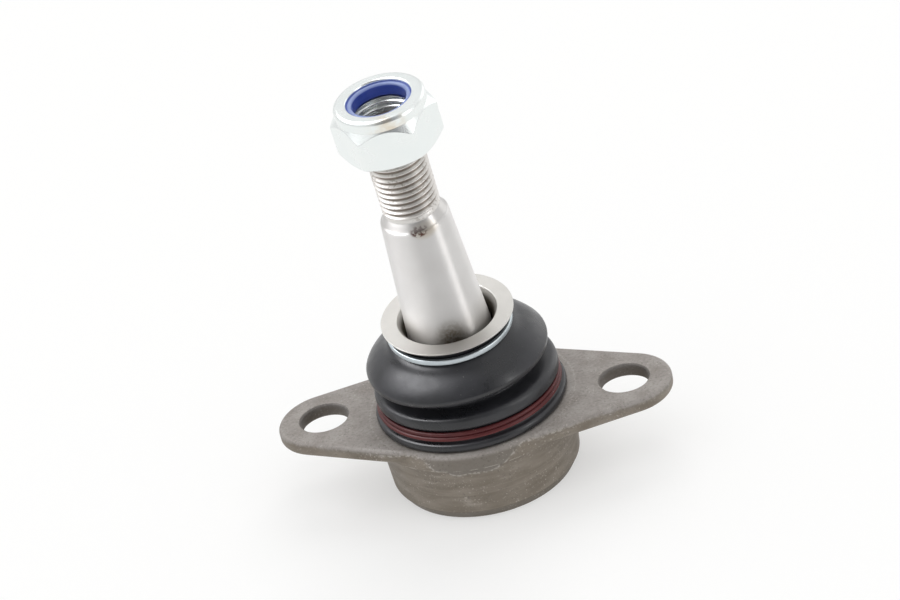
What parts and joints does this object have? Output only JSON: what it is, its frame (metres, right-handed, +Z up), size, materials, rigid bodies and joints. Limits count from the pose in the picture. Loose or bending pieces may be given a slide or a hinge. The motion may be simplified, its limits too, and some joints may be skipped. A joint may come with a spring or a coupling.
{
  "type": "suspension ball joint",
  "caption": "Tapered ball stud in a round forged housing with a two-eared bolt flange, rubber dust boot and a nylon-insert lock nut on the threaded end.",
  "frame": {"origin": "middle of the two flange holes, on the top face of the flange", "axes": "+Z up along the housing axis towards the stud, +X along the line of the two flange holes"},
  "size_m": [0.1006, 0.053, 0.1111],
  "materials": {
    "forging": "matte phosphated steel forging",
    "turned_steel": "bright turned and ground steel",
    "plated_collar": "satin nickel-toned plating",
    "zinc_band": "pale zinc plating",
    "zinc_nut": "bright clear-passivated zinc",
    "boot_rubber": "satin black moulded rubber",
    "red_wire": "dark red lacquered spring wire",
    "blue_nylon": "blue nylon",
    "bearing_plastic": "natural white bearing plastic",
    "spring_steel": "oiled spring steel",
    "pressed_plate": "phosphated pressed steel"
  },
  "bodies": {
    "housing": {"housing": "forging", "bearing_seat_upper": "bearing_plastic", "bearing_seat_lower": "bearing_plastic", "preload_spring": "spring_steel", "closing_plate": "pressed_plate", "boot_clamp_ring": "red_wire"},
    "boot": {"boot": "boot_rubber"},
    "collar": {"stud_collar": "plated_collar", "boot_top_clip": "zinc_band"},
    "stud": {"ball_stud": "turned_steel"},
    "nut_ring": {"nut_insert": "blue_nylon"},
    "nut": {"nut_body": "zinc_nut"}
  },
  "joints": [
    {"name": "lean_heading", "type": "hinge", "parent": "housing", "child": "boot", "pos_m": [0, 0, -0.003], "axis": [0, 0, 1], "continuous": true},
    {"name": "stud_lean", "type": "hinge", "parent": "boot", "child": "collar", "pos_m": [0, 0, -0.003], "axis": [0.9778, -0.2096, 0], "range_deg": [-7.6, 16.4], "deforming": ["boot"]},
    {"name": "stud_spin", "type": "hinge", "parent": "collar", "child": "stud", "pos_m": [0, 0, -0.003], "axis": [-0.0277, -0.1293, 0.9912], "continuous": true},
    {"name": "nut_travel", "type": "slide", "parent": "stud", "child": "nut_ring", "axis": [-0.0277, -0.1293, 0.9912], "range_m": [-0.015, 0.00225], "deforming": ["nut_insert"]},
    {"name": "nut_turn", "type": "hinge", "parent": "nut_ring", "child": "nut", "pos_m": [-0.00227, -0.0106, 0.07828], "axis": [-0.0277, -0.1293, 0.9912], "range_deg": [-3601, 541]}
  ],
  "couplings": [
    {"joint": "nut_turn", "follows": "nut_travel", "rad_per_m": 4188.8}
  ]
}
